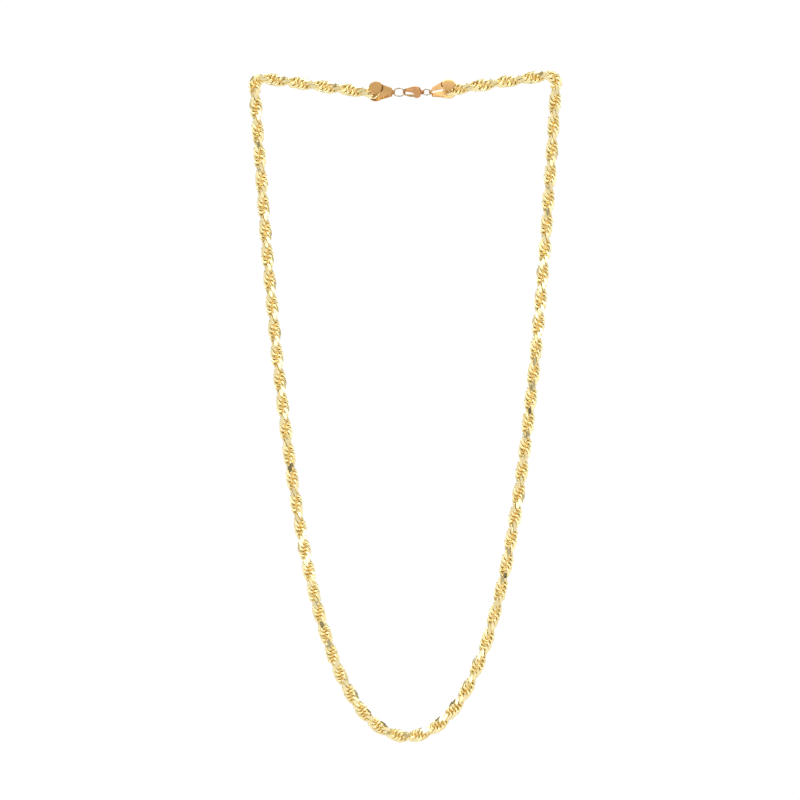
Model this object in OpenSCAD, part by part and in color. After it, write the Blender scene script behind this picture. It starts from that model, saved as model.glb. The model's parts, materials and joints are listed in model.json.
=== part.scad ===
// Rope chain necklace with folded end caps and a lobster clasp, hanging over two pegs.
// X runs to the right, Z up, and the loop lies in the plane Y = 0 and is seen along +Y.
// The origin is the middle between the two pegs, where the back of a neck would be.

/* [Rope] */
// Outside diameter of the twisted rope over its links
rope_d = 4.6; // [3.4:0.1:5.2]

/* [Hanging shape] */
// Distance between the pegs that the chain hangs over, centre to centre
peg_span = 101.8; // [80:0.2:160]
// Radius of each peg
peg_r = 0.8; // [0.6:0.1:3]
// Height of the right peg's centre above the left one's
peg_step = 0.7; // [0:0.1:3]
// Depth of the rope's lowest point below the pegs, to its centre line
hang_drop = 233.5; // [150:0.5:320]
// Fall of the left top run towards the clasp, in degrees
fall_left = 8; // [5:0.2:12]
// Fall of the right top run towards the clasp, in degrees
fall_right = 8.4; // [5:0.2:12]

/* [End caps] */
// Diameter of the round leaf at each end of the folded strip
leaf_d = 5.3; // [4.4:0.1:6]
// Thickness of the strip at its leaves
leaf_t = 0.4; // [0.3:0.05:0.6]
// Distance along the rope from the strip's fold to the middle of a leaf
cap_reach = 6.3; // [5:0.1:8]
// Distance from the middle of a leaf to the crease at its neck
crease_x = 2; // [1.6:0.1:2.1]
// Width of the strip where it folds round a ring
fold_w = 1; // [0.8:0.05:1.1]
// Thickness of the strip at its fold
fold_t = 0.28; // [0.2:0.02:0.4]
// Inner radius of the fold
fold_r = 0.5; // [0.46:0.01:0.6]
// Width of each neck at its tip, by the fold
neck_tip_w = 1.9; // [1.4:0.1:2.2]
// Distance from the middle of the fold out to each neck's tip
neck_spread = 1.35; // [1.1:0.05:1.5]
// Turn of the left cap about the rope, in degrees
cap_turn_left = 28; // [28:1:34]
// Turn of the right cap about the rope, in degrees
cap_turn_right = 42; // [34:1:48]

/* [Jump rings] */
// Wire diameter of the two jump rings
ring_wire = 0.45; // [0.35:0.05:0.5]
// Outside diameter of the ring that the hook holds
ring_left_d = 4.6; // [4.2:0.1:5.5]
// Outside diameter of the ring in the clasp's tail
ring_right_d = 3.4; // [3.2:0.1:4.2]
// Turn of the rings about the line of the clasp, in degrees
ring_turn = 43; // [41:1:45]

/* [Clasp] */
// Length of the claw, from its nose to the root of its tail eye
clasp_len = 6.6; // [5.8:0.1:8]
// Height of the claw, from its back to its lever
clasp_h = 4.3; // [3.8:0.1:4.8]
// Depth of the claw at its tail, across the lever
clasp_depth = 1.8; // [1.6:0.1:2.4]
// Depth of the hook at its nose
hook_depth = 0.9; // [0.7:0.05:1]
// Thickness of the lever
lever_t = 0.7; // [0.5:0.05:0.8]
// Diameter of the lever's pin
pin_d = 0.6; // [0.4:0.05:0.7]
// Radius of the hole in the tail eye
eye_r = 0.45; // [0.4:0.05:0.6]
// Wall of the tail eye
eye_wall = 0.36; // [0.25:0.01:0.5]
// Turn of the clasp about its own length, in degrees
clasp_turn = 50; // [36:1:52]
// Distance of the clasp's nose from the middle between the pegs
nose_x = -1; // [-4:0.1:2]
// Height of the clasp's line above the middle between the pegs
clasp_z = -2.4; // [-3:0.1:-1.4]

/* [Fits] */
// Gap between a ring's wire and what it pulls on
hold_gap = 0.14; // [0.12:0.01:0.25]
// Gap between a cap's leaf and the rope
leaf_gap = 0.1; // [0.05:0.01:0.2]
// Gap between the crease of a cap and the end of the rope
rope_end_gap = 0.3; // [0.25:0.05:1]
// Gap of the lever in its slot, round its pin and at the nose
lever_gap = 0.1; // [0.06:0.01:0.15]

/* [Hidden] */

gold = [0.93, 0.76, 0.38];
warm_gold = [0.90, 0.66, 0.40];
pale_gold = [0.94, 0.86, 0.66];
round_fn = 64;
wire_fn = 32;

// Curves that the hanging rope needs
function sinh(x) = (exp(x) - exp(-x)) / 2;
function cosh(x) = (exp(x) + exp(-x)) / 2;
function asinh(x) = ln(x + sqrt(x * x + 1));

// Catenary from peg to peg: u is the half width over the curve's own length scale
rope_r = rope_d / 2;
bend_r = peg_r + rope_r;
peg_half = peg_span / 2;
peg_z = peg_step / 2;
function lean(u) = atan(1 / sinh(u));
function left_width(u) = peg_half + bend_r * cos(lean(u));
function left_height(u) = left_width(u) / u * (cosh(u) - 1) + bend_r * sin(lean(u));
function find_left(low, high, tries) =
    let (mid = (low + high) / 2)
    tries == 0 ? mid
    : left_height(mid) < hang_drop - peg_z ? find_left(mid, high, tries - 1)
    : find_left(low, mid, tries - 1);
u_left = find_left(0.5, 8, 40);
cat_a = left_width(u_left) / u_left;
function right_height(u) = cat_a * (cosh(u) - 1) + bend_r * sin(lean(u));
function find_right(low, high, tries) =
    let (mid = (low + high) / 2)
    tries == 0 ? mid
    : right_height(mid) < hang_drop + peg_z ? find_right(mid, high, tries - 1)
    : find_right(low, mid, tries - 1);
u_right = find_right(0.5, 8, 40);
lean_left = lean(u_left);
lean_right = lean(u_right);
peg_right_x = cat_a * u_right - bend_r * cos(lean_right);
function hang_point(s) = [cat_a * asinh(s / cat_a), sqrt(cat_a * cat_a + s * s) - cat_a - hang_drop];

// Places along the clasp's line, from the nose both ways
half_wire = ring_wire / 2;
ring_left_r = ring_left_d / 2 - half_wire;
ring_right_r = ring_right_d / 2 - half_wire;
hook_wall = 0.5;
hook_seat_x = nose_x + hook_wall + hold_gap + half_wire;
ring_left_x = hook_seat_x - ring_left_r;
fold_left_x = ring_left_x - ring_left_r + half_wire + hold_gap - fold_r;
eye_out = eye_r + eye_wall;
eye_x = nose_x + clasp_len + eye_r;
ring_right_x = eye_x + eye_r - hold_gap - half_wire + ring_right_r;
fold_right_x = ring_right_x + ring_right_r - half_wire - hold_gap + fold_r;

// Ends of the rope inside the caps, on the straight top runs
leaf_left_x = fold_left_x - cap_reach;
leaf_right_x = fold_right_x + cap_reach;
rope_in = crease_x - rope_end_gap;
function corner(cx, cz, angle) = [cx + bend_r * cos(angle), cz + bend_r * sin(angle)];
top_left = corner(-peg_half, -peg_z, 90 - fall_left);
top_right = corner(peg_right_x, peg_z, 90 + fall_right);
function run_left(x) = [x, top_left[1] - (x - top_left[0]) * tan(fall_left)];
function run_right(x) = [x, top_right[1] - (top_right[0] - x) * tan(fall_right)];
function between(low, high, share) = low + (high - low) * share;

// Route of the rope's centre line, closer together in the bends
run_steps = 4;
bend_steps = 5;
hang_steps = 27;
s_left = cat_a * sinh(u_left);
s_right = cat_a * sinh(u_right);
chain_route = concat(
    [for (i = [0:run_steps - 1]) run_left(between(leaf_left_x + rope_in, top_left[0], i / run_steps))],
    [for (i = [0:bend_steps - 1])
        corner(-peg_half, -peg_z, between(90 - fall_left, 180 + lean_left, i / bend_steps))],
    [for (i = [-hang_steps:hang_steps])
        hang_point((i < 0 ? -s_left : s_right) * pow(abs(i) / hang_steps, 1.5))],
    [for (i = [1:bend_steps])
        corner(peg_right_x, peg_z, between(-lean_right, 90 + fall_right, i / bend_steps))],
    [for (i = [1:run_steps]) run_right(between(top_right[0], leaf_right_x - rope_in, i / run_steps))]
);

// Tube swept along a route in the plane Y = 0
tube_sides = 12;
function unit(v) = v / norm(v);
function heading(route, i) = unit(route[min(i + 1, len(route) - 1)] - route[max(i - 1, 0)]);
function tube_ring(route, i, r) =
    let (t = heading(route, i))
    [for (k = [0:tube_sides - 1])
        let (angle = 360 * k / tube_sides)
        [route[i][0] - t[1] * r * cos(angle), r * sin(angle), route[i][1] + t[0] * r * cos(angle)]];

module swept_tube(route, r) {
    rings = len(route);
    points = [for (i = [0:rings - 1]) each tube_ring(route, i, r)];
    sides = [for (i = [0:rings - 2], k = [0:tube_sides - 1])
        let (next = (k + 1) % tube_sides, a = i * tube_sides, b = a + tube_sides)
        [a + k, a + next, b + next, b + k]];
    first = [for (k = [tube_sides - 1:-1:0]) k];
    last = [for (k = [0:tube_sides - 1]) (rings - 1) * tube_sides + k];
    polyhedron(points, concat(sides, [first], [last]));
}

module rope_chain() {
    color(gold) swept_tube(chain_route, rope_r);
}

// A leaf's place: tilt turns its face about the rope, and shift slides it across the rope.
// toward is 1 where the fold lies at higher X than the leaf, and -1 on the other side.
module at_leaf(x, z, pitch, tilt, shift) {
    translate([x, 0, z])
        rotate([tilt, pitch, 0])
            translate([0, -rope_r - leaf_gap - leaf_t, shift])
                children();
}

module leaf(toward) {
    rotate([-90, 0, 0])
        linear_extrude(leaf_t)
            difference() {
                circle(d = leaf_d, $fn = round_fn);
                translate([toward > 0 ? crease_x : -crease_x - leaf_d, -leaf_d / 2])
                    square([leaf_d, leaf_d]);
            }
}

// Slab across the strip: its ends along X, the middle of its depth, its thickness and width
module slab(x, length, y, t, w) {
    translate([x, y - t / 2, -w / 2])
        cube([length, t, w]);
}

// Each side of a cap has a shoulder from the fold's leg to the neck's tip, and the neck from there
// to its leaf. Each is a hull between two slabs, and is sunk a little in what it grows from.
sink = 0.03;
leg = 0.3;
tip_back = 0.45;
tip_length = 0.2;
root_length = 0.3;
root_w = 2 * sqrt(pow(leaf_d / 2, 2) - crease_x * crease_x) - 2 * sink;

module at_fold(x, turn) {
    translate([x, 0, clasp_z])
        rotate([-turn, 0, 0])
            children();
}

// The half of a tube that bends round the ring, and the two legs that run on from it
module fold(toward) {
    translate([0, 0, -fold_w / 2])
        rotate([0, 0, toward > 0 ? -90 : 90])
            rotate_extrude(angle = 180, $fn = round_fn)
                translate([fold_r, 0])
                    square([fold_t, fold_w]);
    for (side = [-1, 1])
        slab(toward > 0 ? -leg : 0, leg, side * (fold_r + fold_t / 2), fold_t, fold_w);
}

module leg_end(toward, side) {
    slab(-toward * leg * 0.75 - leg / 4, leg / 2, side * (fold_r + fold_t / 2), fold_t - 2 * sink,
        fold_w - 2 * sink);
}

module neck_tip(toward, side, inset) {
    slab(-toward * tip_back - tip_length / 2 + inset, tip_length - 2 * inset, side * neck_spread,
        fold_t - 2 * inset, neck_tip_w - 2 * inset);
}

module neck_root(toward) {
    translate([0, leaf_t / 2, 0])
        slab(toward * (crease_x - root_length / 2) - root_length / 2, root_length, 0,
            leaf_t - 2 * sink, root_w);
}

module end_cap(toward, fold_x, leaf_x, leaf_z, pitch, turn, front_shift, rear_shift) {
    at_fold(fold_x, turn) fold(toward);
    for (side = [-1, 1]) {
        tilt = side < 0 ? -turn : 180 - turn;
        shift = side < 0 ? front_shift : rear_shift;
        at_leaf(leaf_x, leaf_z, pitch, tilt, shift) leaf(toward);
        at_fold(fold_x, turn)
            hull() {
                leg_end(toward, side);
                neck_tip(toward, side, 0);
            }
        hull() {
            at_fold(fold_x, turn) neck_tip(toward, side, sink);
            at_leaf(leaf_x, leaf_z, pitch, tilt, shift) neck_root(toward);
        }
    }
}

module end_cap_left() {
    color(warm_gold)
        end_cap(1, fold_left_x, leaf_left_x, run_left(leaf_left_x)[1], fall_left, cap_turn_left,
            0.84, -1.02);
}

module end_cap_right() {
    color(warm_gold)
        end_cap(-1, fold_right_x, leaf_right_x, run_right(leaf_right_x)[1], -fall_right, cap_turn_right,
            0.25, -1.13);
}

module jump_ring(x, r) {
    translate([x, 0, clasp_z])
        rotate([90 - ring_turn, 0, 0])
            rotate_extrude($fn = round_fn)
                translate([r, 0])
                    circle(d = ring_wire, $fn = wire_fn);
}

module jump_ring_left() {
    color(pale_gold) jump_ring(ring_left_x, ring_left_r);
}

module jump_ring_right() {
    color(pale_gold) jump_ring(ring_right_x, ring_right_r);
}

// Outlines of the clasp as shares of its length and half height, smoothed into curves
CLAW_OUTLINE = [[0, 0], [0.09, 0.5], [0.27, 0.86], [0.5, 1], [0.75, 1], [0.93, 0.8],
                [1, 0.35], [1, -0.3], [0.94, -0.85], [0.72, -1.05], [0.4, -0.98], [0.14, -0.66]];
BAY_OUTLINE = [[hook_wall / clasp_len, -0.08], [0.1, 0.14], [0.2, 0.26], [0.4, 0.2], [0.56, 0.08],
               [0.66, -0.15], [0.67, -0.45], [0.5, -0.66], [0.25, -0.58], [0.12, -0.42]];
LEVER_OUTLINE = [[0.222, -0.56], [0.35, -0.62], [0.55, -0.62], [0.7, -0.42], [0.82, -0.3], [0.9, -0.45],
                 [0.9, -0.85], [0.84, -1.2], [0.74, -1.22], [0.66, -1.08], [0.4, -0.98], [0.222, -0.76]];
// Depth of the claw from above: place along it, and share of the way from hook to full depth
CLAW_DEPTHS = [[0, 0], [0.3, 0.05], [0.45, 0.4], [0.6, 0.9], [0.72, 1], [0.92, 0.9], [1, 0.45]];
gate_start = 0.19;
gate_end = 0.68;
gate_top = -0.5;
pin_place = [0.82, -0.66];
slot_r = 0.98;
slot_rise = 1.2;
slot_back = 0.2;
curve_steps = 5;

half_h = clasp_h / 2;
pin_x = pin_place[0] * clasp_len;
pin_z = pin_place[1] * half_h;
function scaled(shares) = [for (p = shares) [p[0] * clasp_len, p[1] * half_h]];
function curve_point(a, b, c, d, t) =
    0.5 * (2 * b + (c - a) * t + (2 * a - 5 * b + 4 * c - d) * t * t
        + (3 * b - a - 3 * c + d) * t * t * t);
function smooth_loop(points) =
    let (n = len(points))
    [for (i = [0:n - 1], k = [0:curve_steps - 1])
        curve_point(points[(i + n - 1) % n], points[i], points[(i + 1) % n], points[(i + 2) % n],
            k / curve_steps)];

module at_clasp() {
    translate([nose_x, 0, clasp_z])
        rotate([clasp_turn, 0, 0])
            children();
}

// A flat outline in the clasp's own plane, given a depth across it
module across(depth) {
    rotate([90, 0, 0])
        linear_extrude(depth, center = true)
            children();
}

module claw_outline() {
    difference() {
        polygon(smooth_loop(scaled(CLAW_OUTLINE)));
        polygon(smooth_loop(scaled(BAY_OUTLINE)));
        translate([gate_start * clasp_len, -clasp_h])
            square([(gate_end - gate_start) * clasp_len, clasp_h + gate_top * half_h]);
    }
}

module claw_from_above() {
    function half_depth(share) = between(hook_depth, clasp_depth, share) / 2;
    near = [for (p = CLAW_DEPTHS) [p[0] * clasp_len, -half_depth(p[1])]];
    far = [for (i = [len(near) - 1:-1:0]) [near[i][0], -near[i][1]]];
    translate([0, 0, -clasp_h])
        linear_extrude(2 * clasp_h)
            polygon(concat(near, far));
}

// Room for the lever between the claw's two cheeks
module lever_slot() {
    across(lever_t + 2 * lever_gap) {
        translate([pin_x, pin_z]) circle(r = slot_r, $fn = round_fn);
        translate([gate_start * clasp_len, -clasp_h])
            square([pin_x + slot_r - gate_start * clasp_len, clasp_h + pin_z]);
        translate([gate_start * clasp_len, -clasp_h])
            square([pin_x - slot_back - gate_start * clasp_len, clasp_h + pin_z + slot_rise]);
    }
}

module clasp_body() {
    color(warm_gold)
        at_clasp() {
            difference() {
                intersection() {
                    across(clasp_depth) claw_outline();
                    claw_from_above();
                }
                lever_slot();
            }
            translate([pin_x, 0, pin_z])
                across(between(hook_depth, clasp_depth, 0.9)) circle(d = pin_d, $fn = round_fn);
            translate([clasp_len + eye_r, 0, 0])
                across(hook_depth)
                    difference() {
                        circle(r = eye_out, $fn = round_fn);
                        circle(r = eye_r, $fn = round_fn);
                    }
        }
}

module clasp_lever() {
    color(warm_gold)
        at_clasp()
            across(lever_t)
                difference() {
                    polygon(smooth_loop(scaled(LEVER_OUTLINE)));
                    translate([pin_x, pin_z]) circle(d = pin_d + 2 * lever_gap, $fn = round_fn);
                }
}

rope_chain();
end_cap_left();
end_cap_right();
jump_ring_left();
jump_ring_right();
clasp_body();
clasp_lever();
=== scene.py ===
import json
import math

import bpy
import numpy as np
from mathutils import Matrix, Vector


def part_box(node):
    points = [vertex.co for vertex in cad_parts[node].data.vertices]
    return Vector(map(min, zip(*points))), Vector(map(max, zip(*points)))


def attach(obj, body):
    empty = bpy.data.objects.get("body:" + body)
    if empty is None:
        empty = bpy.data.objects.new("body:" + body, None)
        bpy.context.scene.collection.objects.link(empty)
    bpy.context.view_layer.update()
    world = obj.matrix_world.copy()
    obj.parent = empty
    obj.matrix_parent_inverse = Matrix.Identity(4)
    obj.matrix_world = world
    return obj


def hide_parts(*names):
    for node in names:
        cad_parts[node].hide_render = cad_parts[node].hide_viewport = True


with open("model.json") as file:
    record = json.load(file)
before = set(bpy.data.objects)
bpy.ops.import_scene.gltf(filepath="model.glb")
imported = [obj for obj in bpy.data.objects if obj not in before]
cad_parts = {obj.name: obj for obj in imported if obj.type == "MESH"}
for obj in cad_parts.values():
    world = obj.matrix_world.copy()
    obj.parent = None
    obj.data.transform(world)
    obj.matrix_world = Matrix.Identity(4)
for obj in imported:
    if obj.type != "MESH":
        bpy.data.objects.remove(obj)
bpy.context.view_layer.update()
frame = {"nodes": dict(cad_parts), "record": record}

# All lengths are metres and all angles radians unless a name says otherwise, in the CAD model's own frame
MM = 0.001
MOUNTS = {m["name"]: np.array(m["pos_m"]) for m in frame["record"]["mounts"]}

# Camera, from the photograph's scale and from the model's origin in it
PHOTO_SIDE_PX = 800
MM_PER_PX = 0.3586
ORIGIN_PX = (405.3, 85.5)
PHOTO_ROLL = 0.0035
LENS_MM = 180
SENSOR_MM = 36
CLIP_START = 0.1
CLIP_END = 20

# Route of the rope's centre line. Its two top runs fall from the hanging points towards the clasp.
ROPE_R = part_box("rope_chain")[1].y
PEG_R = 0.8 * MM
BEND_R = PEG_R + ROPE_R
FALL_LEFT = math.radians(8)
FALL_RIGHT = math.radians(8.4)
ROPE_START_X = -9.02 * MM
ROPE_END_X = 13.82 * MM
ROUTE_STEP = 0.05 * MM
RUN_POINTS = 800
# Between these the catenary's reach to a bend is sought, as a multiple of its scale
REACH_LOW = 0.5
REACH_HIGH = 8
HALVINGS = 60

# The rope's two strands of rings. A half turn is counted where the strands lie side by side.
TWIST = [
    # place along the rope from its lowest point in millimetres, half turns counted there
    (-294, -6), (-257, -2), (-241, 0), (-89, 17), (12.2, 30), (28.6, 32),
    (57, 35), (85, 38), (118, 42), (234, 55), (259, 58), (287, 61),
]
SPARE_HALF_TURNS = 3
STRANDS = 2
RINGS_PER_HALF_TURN = 7
ROPE_PIECES = 4

# A ring's centre lies off the rope's middle line. Its outside reaches past the rope's, and is drawn in.
RING_OFFSET = 0.5 * MM
RING_REACH = ROPE_R + 0.27 * MM
RING_R = RING_REACH - RING_OFFSET
RING_TILT = math.radians(80)
# Half of the angle that a ring is open, next to the rope's middle line
RING_GAP = math.radians(30)
RING_ROWS = 27
# Share of the rows' spacing that is even. The rest draws them together at the rope's outside.
ROW_EVENNESS = 0.75
WIRE_R = 0.55 * MM
WIRE_SIDES = 10
# Nothing stands further out of the rope than this
ROPE_LIMIT = ROPE_R + 0.05 * MM
# A ring's centre stays this share of its radius clear of the rope's ends
END_CLEARANCE = 0.95

# How far the rings wander from their places, turns and tilts, and their flats from squareness
SEED = 5
OFFSET_PLAY = 0.04 * MM
TURN_PLAY = 0.03
TILT_PLAY = 0.03
FLAT_PLAY = 0.02

# Flats cut along the rope all round it. They turn slowly about it, and face the viewer squarely at nought.
CUT_FLATS = 8
CUT_R = 2.1 * MM
CUT_TURNS = [
    # place along the rope in millimetres, turn in degrees
    (-287, 6), (-247, 7), (-241, 14), (-227, 0), (-205, -18), (-130, -18), (-111, 0), (-82, 18), (-54, 0),
    (-20, -18), (40, -18), (76, 0), (100, 16), (128, 0), (142, 1), (160, -16), (185, -16), (204, 0),
    (222, 14), (236, 7), (288, 6),
]
# Angle round a ring, from its outside, where its flats end, and over which they fade before that
CUT_END = math.radians(80)
CUT_FADE = math.radians(30)
# A row is cut where its flat is so many times wider than a side of the plain wire
CUT_LEAST = 1.2

# Painted shade darkens the gold inside the rope, from one distance from its middle line to another
RECESS_SHADE_TOP = 1.9 * MM
RECESS_SHADE_FLOOR = 1.2 * MM

# Leaves of the end caps. Each lies on the rope, behind its end, turned about it and shifted across it.
LEAF_D = 5.3 * MM
LEAF_T = 0.4 * MM
LEAF_GAP = 0.1 * MM
LEAF_REACH = ROPE_R + LEAF_GAP + LEAF_T
LEAF_BEHIND_END = 1.7 * MM
LEAVES = {
    # toward is 1 where the cap's fold lies at higher X than its leaves, and -1 on the other side
    "end_cap_left": {"toward": 1, "fall": FALL_LEFT, "turn": math.radians(28),
                     "front_shift": 0.84 * MM, "rear_shift": -1.02 * MM},
    "end_cap_right": {"toward": -1, "fall": FALL_RIGHT, "turn": math.radians(42),
                      "front_shift": 0.25 * MM, "rear_shift": -1.13 * MM},
}
# Fall of a leaf's rim, which grows with this power of the distance from its middle and ends at the groove
RIM_DROP = 0.1 * MM
RIM_POWER = 4
RIM_FADE = 0.6 * MM
# Curved groove where a leaf meets its neck
GROOVE_R = 2.3 * MM
GROOVE_HALF = math.radians(40)
GROOVE_FADE = math.radians(6)
GROOVE_W = 0.24 * MM
GROOVE_DEPTH = 0.1 * MM
# A point of the cap belongs to a leaf within these distances of its middle, its sheet and its outer face
LEAF_REGION_R = 0.52 * LEAF_D
SHEET_REGION = 0.5 * MM
FACE_REGION = 0.16 * MM

# Rounding of the fittings: the remesh's voxel, and how often each is smoothed and by how much
VOXEL_MM = 0.055
SMOOTH_FACTOR = 0.5
CAP_PASSES = 10
CLASP_PASSES = 60
LEVER_PASSES = 30

# Texture of the gold: a cloudy change of colour, and fine wear in its relief and its roughness, which
# varies between two multiples of the given one
CLOUD_DETAIL = 3
CLOUD_DEEP = 0.3
CLOUD_LIGHT = 0.65
WEAR_FINENESS = 6
WEAR_DETAIL = 4
WEAR_DEPTH = 0.02 * MM
GLOSS_LEAST = 0.7
GLOSS_MOST = 1.5

# Floor
FLOOR_HALF = 0.6
FLOOR_Z = -0.345
FLOOR_WHITE = 0.9
FLOOR_ROUGHNESS = 0.6

# Room that the gold mirrors. Its brightness is the product of two, and what is dim lacks green and blue.
BACK_TO_LENS = [
    # share of the way from behind the chain to the dark lens, brightness
    (0, 0.9), (0.12, 0.85), (0.2, 0.5), (0.24, 0.5), (0.3, 1.1), (0.5, 1.05), (0.7, 0.82), (0.85, 0.78),
    (0.87, 1.7), (0.93, 1.7), (0.95, 0.78), (0.991, 0.8), (0.995, 0.75), (0.9972, 0.01),
]
BELOW_TO_ABOVE = [
    # share of the way from straight below the chain to straight above it, brightness
    (0, 0.5), (0.16, 0.33), (0.28, 0.33), (0.35, 1.05), (0.65, 1.05), (0.72, 0.33), (0.84, 0.4),
    (0.9, 1.1), (1, 0.9),
]
GREEN_LOSS = 0.15
BLUE_LOSS = 0.45
SEEN_WHITE = 1.02
LIGHT_AIM = (0, 0, -0.115)
SOFTBOXES = [
    # name, place, width, height, brightness
    ("key", (-0.6, -0.9, 0.5), 0.6, 0.6, 3),
    ("fill", (0.9, -0.6, 0), 0.4, 0.8, 1.5),
    ("top", (0, 0.35, 0.8), 0.8, 0.5, 2.5),
]


def solve(rising, low, high):
    """The value between low and high where rising() passes zero."""
    for _ in range(HALVINGS):
        mid = (low + high) / 2
        if rising(mid) < 0:
            low = mid
        else:
            high = mid
    return mid


def bend_arc(centre, start, end):
    """Points in X and Z on the bend about a hanging point, between two angles."""
    angles = np.linspace(start, end, round(abs(end - start) * BEND_R / ROUTE_STEP))
    return np.stack([centre[0] + BEND_R * np.cos(angles), centre[1] + BEND_R * np.sin(angles)], 1)


def rope_route():
    """Points of the centre line in X and Z from its left end, and each one's place from the lowest point."""
    peg_left = MOUNTS["peg_left"][[0, 2]]
    peg_right = MOUNTS["peg_right"][[0, 2]]
    drop = -MOUNTS["pendant"][2]

    # u is the catenary's reach from its lowest point to a bend, as a multiple of its scale
    def lean(u):
        return math.atan(1 / math.sinh(u))

    def width(u):
        return -peg_left[0] + BEND_R * math.cos(lean(u))

    def height(u, scale):
        return scale * (math.cosh(u) - 1) + BEND_R * math.sin(lean(u))

    u_left = solve(lambda u: height(u, width(u) / u) - drop - peg_left[1], REACH_LOW, REACH_HIGH)
    scale = width(u_left) / u_left
    u_right = solve(lambda u: height(u, scale) - drop - peg_right[1], REACH_LOW, REACH_HIGH)

    left_arc = bend_arc(peg_left, math.pi / 2 - FALL_LEFT, math.pi + lean(u_left))
    right_arc = bend_arc(peg_right, -lean(u_right), math.pi / 2 + FALL_RIGHT)
    s = np.arange(-scale * math.sinh(u_left), scale * math.sinh(u_right), ROUTE_STEP)
    hang = np.stack([scale * np.arcsinh(s / scale), np.hypot(scale, s) - scale - drop], 1)
    top_left, top_right = left_arc[0], right_arc[-1]
    start_z = top_left[1] - (ROPE_START_X - top_left[0]) * math.tan(FALL_LEFT)
    end_z = top_right[1] - (top_right[0] - ROPE_END_X) * math.tan(FALL_RIGHT)
    left_run = np.linspace([ROPE_START_X, start_z], top_left, RUN_POINTS)
    right_run = np.linspace(top_right, [ROPE_END_X, end_z], RUN_POINTS)

    route = np.concatenate([left_run[:-1], left_arc[:-1], hang, right_arc[1:], right_run[1:]])
    along = np.concatenate([[0], np.cumsum(np.linalg.norm(np.diff(route, axis=0), axis=1))])
    lowest = len(left_run) + len(left_arc) - 2 + np.argmin(np.abs(s))
    return route, along - along[lowest]


def half_turn_places(counts):
    """Place along the rope of each half-turn count. Past the table's ends the twist keeps its last pace."""
    places, turns = np.array(TWIST, float).T
    places = places * MM
    first_pace = (places[1] - places[0]) / (turns[1] - turns[0])
    last_pace = (places[-1] - places[-2]) / (turns[-1] - turns[-2])
    inner = np.interp(counts, turns, places)
    before = np.minimum(counts - turns[0], 0) * first_pace
    after = np.maximum(counts - turns[-1], 0) * last_pace
    return inner + before + after


def on_route(places, along, values):
    """Vectors at places on the rope, from values in X and Z at each point along its route."""
    return np.stack([np.interp(places, along, values[:, 0]), np.zeros_like(places),
                     np.interp(places, along, values[:, 1])], 1)


def unit(vectors):
    """The vectors, each made one long."""
    return vectors / np.linalg.norm(vectors, axis=1)[:, None]


class Rope:
    """Rings of the rope. At each, axis is the point on the rope's middle line and t is the line's direction,
    with side and depth across it. The ring lies about its centre in the directions u, straight out of the
    rope, and w, and its flat faces the direction flat."""

    def __init__(self):
        route, along = rope_route()
        counts = np.arange(TWIST[0][1] - SPARE_HALF_TURNS, TWIST[-1][1] + SPARE_HALF_TURNS,
                           1 / (STRANDS * RINGS_PER_HALF_TURN))
        strand = np.arange(len(counts)) % STRANDS
        places = half_turn_places(counts)
        clear = RING_R * END_CLEARANCE
        inside = (places > along[0] + clear) & (places < along[-1] - clear)
        counts, strand, places = counts[inside], strand[inside], places[inside]
        number = len(places)
        rng = np.random.default_rng(SEED)

        self.axis = on_route(places, along, route)
        self.t = unit(on_route(places, along, np.gradient(route, along, axis=0)))
        self.side = np.stack([-self.t[:, 2], np.zeros_like(places), self.t[:, 0]], 1)
        self.depth = np.cross(self.t, self.side)

        turn = math.pi * (counts + strand) + rng.normal(0, TURN_PLAY, number)
        tilt = RING_TILT + rng.normal(0, TILT_PLAY, number)
        self.u = self.outward(turn)
        v = np.cross(self.t, self.u)
        self.w = np.cos(tilt)[:, None] * v - np.sin(tilt)[:, None] * self.t
        offset = RING_OFFSET + OFFSET_PLAY * rng.uniform(-1, 1, number)
        self.centre = self.axis + offset[:, None] * self.u

        # each ring takes the flat that lies nearest to its outside
        cut_places, cut_turns = np.array(CUT_TURNS).T
        shift = np.radians(np.interp(places, cut_places * MM, cut_turns))
        step = 2 * math.pi / CUT_FLATS
        faced = np.round((turn - shift) / step) * step + shift + rng.normal(0, FLAT_PLAY, number)
        self.flat = unit(self.outward(faced) + rng.normal(0, FLAT_PLAY, number)[:, None] * self.t)

    def outward(self, angles):
        """Directions straight out of the rope, each at its angle about it."""
        return np.cos(angles)[:, None] * self.side + np.sin(angles)[:, None] * self.depth


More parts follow.
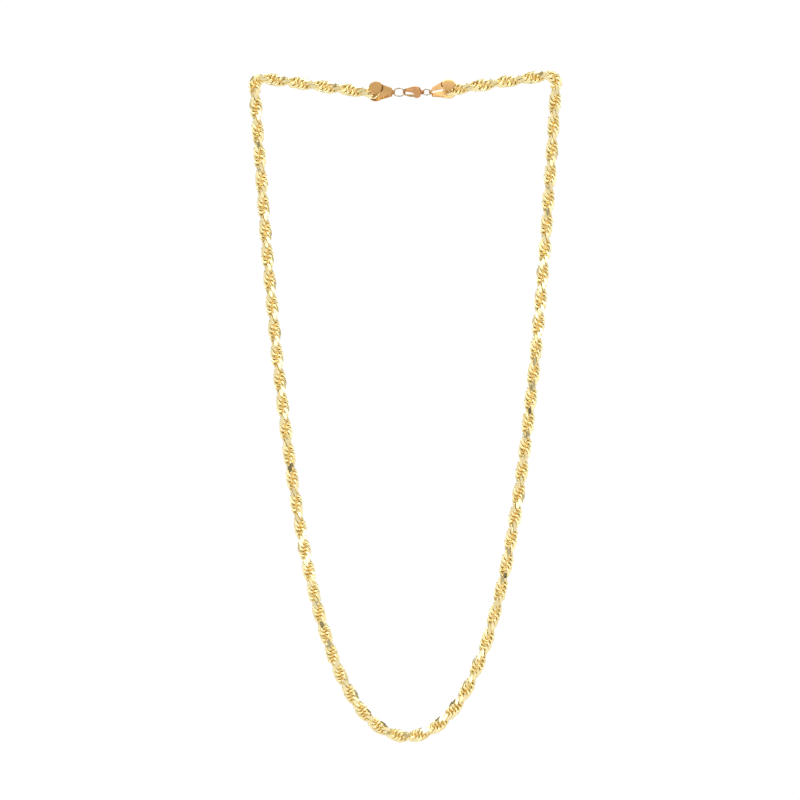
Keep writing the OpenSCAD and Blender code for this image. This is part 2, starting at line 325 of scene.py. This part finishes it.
def ring_points(rope, some):
    """Corners of some of the open wire rings, as rings by rows by sides, which rows are cut flat, and how
    deep inside the rope each corner lies, from 0 at its outside to 1 near its middle, as its painted shade."""
    phi = np.linspace(-1, 1, RING_ROWS)
    phi = (math.pi - RING_GAP) * (ROW_EVENNESS * phi + (1 - ROW_EVENNESS) * phi ** 3)
    u, w, flat = rope.u[some, None], rope.w[some, None], rope.flat[some, None]
    normal = np.cross(u, w)
    out = np.cos(phi)[None, :, None] * u + np.sin(phi)[None, :, None] * w
    middle = rope.centre[some, None] + (RING_R - WIRE_R) * out

    # how far round the wire its flat reaches to each side, and which way the flat faces
    room = CUT_R - ((middle - rope.axis[some, None]) * flat).sum(-1)
    over_out, over_normal = (flat * out).sum(-1), (flat * normal).sum(-1)
    half = np.arccos(np.clip(room / (WIRE_R * np.hypot(over_out, over_normal)), -1, 1))
    fade = np.clip((CUT_END - np.abs(phi)) / CUT_FADE, 0, 1)
    facing = fade * np.arctan2(over_normal, over_out)
    least = math.pi / WIRE_SIDES
    half = np.where(fade > 0, np.maximum(half, least), least)[..., None]

    # the first and last corner stand at the flat's two edges, and the others share the way round
    share = np.arange(WIRE_SIDES) / (WIRE_SIDES - 1)
    psi = (facing[..., None] + half + share * 2 * (math.pi - half))[..., None]
    points = middle[:, :, None] + WIRE_R * (np.cos(psi) * out[:, :, None] + np.sin(psi) * normal[:, :, None])

    # what stands too far out of the rope is drawn in to its limit
    t = rope.t[some, None, None]
    across = points - rope.axis[some, None, None]
    across = across - (across * t).sum(-1, keepdims=True) * t
    reach = np.linalg.norm(across, axis=-1, keepdims=True)
    points = points - across * np.maximum(1 - ROPE_LIMIT / reach, 0)
    # painted shade: the gold deep inside the rope is darkened, where shade falls between the rings
    recess_shade = np.clip((RECESS_SHADE_TOP - reach[..., 0]) / (RECESS_SHADE_TOP - RECESS_SHADE_FLOOR), 0, 1)
    return points, half[..., 0] > CUT_LEAST * least, recess_shade


def place_in_scene(name, data):
    """A new object in the scene that shows the data."""
    obj = bpy.data.objects.new(name, data)
    bpy.context.scene.collection.objects.link(obj)
    return obj


def add_recess_shade(mesh, depths):
    """Marks the share of painted shade at each point of the mesh, from 0 to 1. The gold there is darkened.
    """
    mesh.attributes.new("recess_shade", "FLOAT", "POINT").data.foreach_set("value", depths.reshape(-1))


def rings_piece(name, points, is_cut, recess_shade):
    """One mesh of the wire rings, smooth but for the edges of the flats cut on them."""
    count, rows, sides = points.shape[:3]
    i, j, k = np.meshgrid(np.arange(count), np.arange(rows - 1), np.arange(sides), indexing="ij")
    base = (i * rows + j) * sides
    after = (k + 1) % sides
    quads = np.stack([base + k, base + after, base + sides + after, base + sides + k], -1).reshape(-1, 4)
    ring_start = np.arange(count)[:, None] * rows * sides
    first_ends = ring_start + np.arange(sides)[None, ::-1]
    last_ends = ring_start + (rows - 1) * sides + np.arange(sides)[None]
    mesh = bpy.data.meshes.new(name)
    mesh.from_pydata(points.reshape(-1, 3).tolist(), [],
                     quads.tolist() + first_ends.tolist() + last_ends.tolist())
    mesh.update()
    mesh.shade_smooth()

    # an edge is sharp where only one of its two faces lies on a flat
    on_flat = (k == sides - 1) & is_cut[i, j] & is_cut[i, j + 1]
    on_flat = np.concatenate([on_flat.reshape(-1), np.zeros(2 * count, bool)])
    face_corners = np.array([4] * len(quads) + [sides] * 2 * count)
    corner_edge = np.empty(len(mesh.loops), np.int32)
    mesh.loops.foreach_get("edge_index", corner_edge)
    flats_beside = np.bincount(corner_edge, weights=np.repeat(on_flat, face_corners),
                               minlength=len(mesh.edges))
    sharp = mesh.attributes.new("sharp_edge", "BOOLEAN", "EDGE")
    sharp.data.foreach_set("value", flats_beside == 1)
    add_recess_shade(mesh, recess_shade)
    return place_in_scene(name, mesh)


def new_material(name):
    """A material and its empty node tree."""
    material = bpy.data.materials.new(name)
    material.use_nodes = True
    material.node_tree.nodes.clear()
    return material, material.node_tree


def add_node(tree, kind, **inputs):
    """A new shader node with some inputs set. An underscore in an input's name stands for a space."""
    node = tree.nodes.new("ShaderNode" + kind)
    for name, value in inputs.items():
        node.inputs[name.replace("_", " ")].default_value = value
    return node


def gold(name, colour, deep, shade_colour, roughness, scale, bump):
    """Polished gold: colour and gloss wander a little, fine wear marks it, and painted shade darkens
    hollows.
    """
    material, tree = new_material(name)
    out = add_node(tree, "OutputMaterial")
    shader = add_node(tree, "BsdfPrincipled", Metallic=1)
    place = add_node(tree, "TexCoord")
    cloud = add_node(tree, "TexNoise", Scale=scale, Detail=CLOUD_DETAIL)
    wear = add_node(tree, "TexNoise", Scale=scale * WEAR_FINENESS, Detail=WEAR_DETAIL)
    gloss = add_node(tree, "MapRange", To_Min=roughness * GLOSS_LEAST, To_Max=roughness * GLOSS_MOST)
    relief = add_node(tree, "Bump", Strength=bump, Distance=WEAR_DEPTH)
    shade = add_node(tree, "ValToRGB")
    dark, light = shade.color_ramp.elements
    dark.position, dark.color = CLOUD_DEEP, (*deep, 1)
    light.position, light.color = CLOUD_LIGHT, (*colour, 1)
    # painted shade: the colour is darkened towards the third colour by each point's share of shade
    recess_shade = add_node(tree, "Attribute")
    recess_shade.attribute_name = "recess_shade"
    shade_mix = add_node(tree, "Mix")
    shade_mix.data_type = "RGBA"
    shade_mix.inputs["B"].default_value = (*shade_colour, 1)
    link = tree.links.new
    link(place.outputs["Object"], cloud.inputs["Vector"])
    link(place.outputs["Object"], wear.inputs["Vector"])
    link(cloud.outputs["Fac"], shade.inputs["Fac"])
    link(recess_shade.outputs["Fac"], shade_mix.inputs["Factor"])
    link(shade.outputs["Color"], shade_mix.inputs["A"])
    link(shade_mix.outputs["Result"], shader.inputs["Base Color"])
    link(wear.outputs["Fac"], gloss.inputs["Value"])
    link(gloss.outputs["Result"], shader.inputs["Roughness"])
    link(wear.outputs["Fac"], relief.inputs["Height"])
    link(relief.outputs["Normal"], shader.inputs["Normal"])
    link(shader.outputs["BSDF"], out.inputs["Surface"])
    return material


# The rope's third colour is painted shade between its rings.
ROPE_GOLD = gold("rope_gold", colour=(1.0, 0.89, 0.54), deep=(0.98, 0.85, 0.48), shade_colour=(0.89, 0.71, 0.34),
                 roughness=0.12, scale=400, bump=0.15)
# Painted shade: the caps, clasp and lever are darker, redder copies of the rope's gold. The caps' third
# colour is painted shade in their grooves.
CAP_SHADED_GOLD = gold("cap_gold", colour=(0.77, 0.47, 0.2), deep=(0.71, 0.41, 0.16), shade_colour=(0.12, 0.05, 0.01),
                roughness=0.2, scale=500, bump=0.2)
CLASP_SHADED_GOLD = gold("clasp_gold", colour=(0.7, 0.38, 0.17), deep=(0.64, 0.33, 0.14), shade_colour=(0.12, 0.05, 0.01),
                  roughness=0.16, scale=500, bump=0.2)
# painted shade: the lever is darkest, as shade on the clasp's lower rim
LEVER_SHADED_GOLD = gold("lever_shaded_gold", colour=(0.56, 0.4, 0.2), deep=(0.5, 0.35, 0.17), shade_colour=(0.12, 0.05, 0.01),
                  roughness=0.12, scale=500, bump=0.2)
RING_GOLD = gold("ring_gold", colour=(0.52, 0.44, 0.32), deep=(0.44, 0.37, 0.26), shade_colour=(0.3, 0.2, 0.1),
                 roughness=0.12, scale=700, bump=0.15)


def rounded(node, passes, look, body):
    """The node's form with rounded edges, in its place: a fine remesh in millimetres, smoothed."""
    source = frame["nodes"][node]
    mesh = source.data.copy()
    mesh.transform(Matrix.Scale(1 / MM, 4) @ source.matrix_world)
    piece = place_in_scene(node + "_form", mesh)
    remesh = piece.modifiers.new("remesh", "REMESH")
    remesh.mode = "VOXEL"
    remesh.voxel_size = VOXEL_MM
    smooth = piece.modifiers.new("smooth", "SMOOTH")
    smooth.factor = SMOOTH_FACTOR
    smooth.iterations = passes
    shown = piece.evaluated_get(bpy.context.evaluated_depsgraph_get())
    final = bpy.data.meshes.new_from_object(shown)
    piece.modifiers.clear()
    piece.data = final
    final.transform(Matrix.Scale(MM, 4))
    final.shade_smooth()
    final.materials.clear()
    final.materials.append(look)
    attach(piece, body)
    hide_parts(node)
    return piece


def emboss_cap(piece, rope_end, toward, fall, turn, front_shift, rear_shift):
    """Lets the rims of both leaves fall a little and cuts a curved groove where each leaf meets its neck."""
    mesh = piece.data
    points = np.empty(len(mesh.vertices) * 3)
    mesh.vertices.foreach_get("co", points)
    points = points.reshape(-1, 3)
    # groove gathers painted shade: the gold in each leaf's groove is darkened as shade falls in it
    groove = np.zeros(len(points))
    x = rope_end[0] - toward * LEAF_BEHIND_END
    z = rope_end[1] + math.tan(fall) * LEAF_BEHIND_END
    for tilt, shift in ((-turn, front_shift), (math.pi - turn, rear_shift)):
        place = (Matrix.Translation((x, 0, z)) @ Matrix.Rotation(toward * fall, 4, "Y")
                 @ Matrix.Rotation(tilt, 4, "X") @ Matrix.Translation((0, -LEAF_REACH, shift)))
        axes = np.array(place.to_3x3())
        # to_neck runs along the leaf to its neck, inward into it from its outer face, and across it
        to_neck, inward, across = ((points - np.array(place.translation)) @ axes).T
        to_neck = toward * to_neck
        r = np.hypot(to_neck, across)
        near = np.abs(inward - LEAF_T / 2) < SHEET_REGION
        on_leaf = near & (r < LEAF_REGION_R) & (to_neck < GROOVE_R)
        rim = np.where(on_leaf, (r / LEAF_D * 2) ** RIM_POWER, 0)
        rim = rim * np.clip((GROOVE_R - to_neck) / RIM_FADE, 0, 1)
        fade = np.clip((GROOVE_HALF - np.abs(np.arctan2(across, to_neck))) / GROOVE_FADE, 0, 1)
        cut = np.where(near & (inward < FACE_REGION), fade * np.exp(-((r - GROOVE_R) / GROOVE_W) ** 2), 0)
        # the groove's cut is also painted shade, a dark line where the leaf meets its neck
        groove += cut
        points = points + (RIM_DROP * rim + GROOVE_DEPTH * cut)[:, None] * axes[:, 1]
    mesh.vertices.foreach_set("co", points.reshape(-1))
    add_recess_shade(mesh, np.clip(groove, 0, 1))
    mesh.update()


def build_rope():
    """The rope's rings, in pieces of about the same number."""
    rope = Rope()
    for i, some in enumerate(np.array_split(np.arange(len(rope.u)), ROPE_PIECES)):
        piece = rings_piece(f"rope_links_{i + 1}", *ring_points(rope, some))
        piece.data.materials.append(ROPE_GOLD)
        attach(piece, "necklace")
        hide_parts("rope_chain")


def build_fittings():
    """The caps and the clasp with rounded edges and the jump rings as they are. The caps, clasp and lever
    are darker copies of the rope's gold as painted shade, and the rings a greyer one.
    """
    route = rope_route()[0]
    rope_ends = {"end_cap_left": route[0], "end_cap_right": route[-1]}
    for cap, leaves in LEAVES.items():
        piece = rounded(cap, CAP_PASSES, CAP_SHADED_GOLD, "necklace")
        emboss_cap(piece, rope_ends[cap], **leaves)
    rounded("clasp_body", CLASP_PASSES, CLASP_SHADED_GOLD, "necklace")
    rounded("clasp_lever", LEVER_PASSES, LEVER_SHADED_GOLD, "lever")
    for ring in ("jump_ring_left", "jump_ring_right"):
        for material_slot in frame["nodes"][ring].material_slots:
            material_slot.material = RING_GOLD


def camera():
    """Straight on, from far away, with the photograph's framing and its slight roll."""
    px = MM_PER_PX * MM
    middle_px = PHOTO_SIDE_PX / 2
    right = (middle_px - ORIGIN_PX[0]) * px
    down = (middle_px - ORIGIN_PX[1]) * px
    distance = PHOTO_SIDE_PX * px * LENS_MM / SENSOR_MM
    data = bpy.data.cameras.new("camera")
    data.lens = LENS_MM
    data.sensor_width = SENSOR_MM
    data.clip_start = CLIP_START
    data.clip_end = CLIP_END
    obj = place_in_scene("camera", data)
    obj.location = (right - PHOTO_ROLL * down, -distance, -down - PHOTO_ROLL * right)
    obj.rotation_euler = (math.pi / 2, PHOTO_ROLL, 0)
    bpy.context.scene.camera = obj


def floor():
    """A plain pale floor below the hanging chain."""
    corners = [(x * FLOOR_HALF, y * FLOOR_HALF, FLOOR_Z) for x, y in ((-1, -1), (1, -1), (1, 1), (-1, 1))]
    mesh = bpy.data.meshes.new("floor")
    mesh.from_pydata(corners, [], [(0, 1, 2, 3)])
    material, tree = new_material("floor_white")
    out = add_node(tree, "OutputMaterial")
    shader = add_node(tree, "BsdfPrincipled", Base_Color=(FLOOR_WHITE, FLOOR_WHITE, FLOOR_WHITE, 1),
                      Roughness=FLOOR_ROUGHNESS)
    tree.links.new(shader.outputs["BSDF"], out.inputs["Surface"])
    mesh.materials.append(material)
    place_in_scene("floor", mesh)


def softbox(name, place, width, height, brightness):
    """A rectangular light at place, which faces the chain."""
    data = bpy.data.lights.new(name, "AREA")
    data.shape = "RECTANGLE"
    data.size = width
    data.size_y = height
    data.energy = brightness * math.pi * width * height
    obj = place_in_scene(name, data)
    obj.location = place
    obj.rotation_euler = (Vector(LIGHT_AIM) - Vector(place)).to_track_quat("-Z", "Y").to_euler()


def levels_ramp(tree, levels):
    """A colour ramp of brightness levels, each with its share of the way. The dimmer are the warmer."""
    ramp = add_node(tree, "ValToRGB")
    elements = ramp.color_ramp.elements
    while len(elements) < len(levels):
        elements.new(0.5)
    for element, (share, level) in zip(elements, levels):
        lack = max(1 - level, 0)
        element.position = share
        element.color = (level, level * (1 - GREEN_LOSS * lack), level * (1 - BLUE_LOSS * lack), 1)
    return ramp


def room_brightness(tree, towards, levels):
    """The room's colour by its direction's share of the way from opposite the given direction to it."""
    place = add_node(tree, "TexCoord")
    facing = add_node(tree, "VectorMath")
    facing.operation = "DOT_PRODUCT"
    facing.inputs[1].default_value = Vector(towards) / 2
    share = add_node(tree, "Math")
    share.operation = "ADD"
    share.inputs[1].default_value = 0.5
    ramp = levels_ramp(tree, levels)
    tree.links.new(place.outputs["Generated"], facing.inputs[0])
    tree.links.new(facing.outputs["Value"], share.inputs[0])
    tree.links.new(share.outputs["Value"], ramp.inputs["Fac"])
    return ramp.outputs["Color"]


def studio():
    """A pale room, seen as plain white, with a bright band about the lens and dim bands elsewhere."""
    world = bpy.data.worlds.new("studio")
    world.use_nodes = True
    bpy.context.scene.world = world
    tree = world.node_tree
    tree.nodes.clear()
    out = add_node(tree, "OutputWorld")
    seen = add_node(tree, "Background", Strength=SEEN_WHITE, Color=(1, 1, 1, 1))
    room = add_node(tree, "Background")
    both = add_node(tree, "VectorMath")
    both.operation = "MULTIPLY"
    ray = add_node(tree, "LightPath")
    mix = add_node(tree, "MixShader")
    tree.links.new(room_brightness(tree, (0, -1, 0), BACK_TO_LENS), both.inputs[0])
    tree.links.new(room_brightness(tree, (0, 0, 1), BELOW_TO_ABOVE), both.inputs[1])
    tree.links.new(both.outputs["Vector"], room.inputs["Color"])
    tree.links.new(ray.outputs["Is Camera Ray"], mix.inputs["Fac"])
    tree.links.new(room.outputs["Background"], mix.inputs[1])
    tree.links.new(seen.outputs["Background"], mix.inputs[2])
    tree.links.new(mix.outputs["Shader"], out.inputs["Surface"])
    for box in SOFTBOXES:
        softbox(*box)
    bpy.context.scene.view_settings.view_transform = "Standard"


camera()
floor()
studio()
build_fittings()
build_rope()
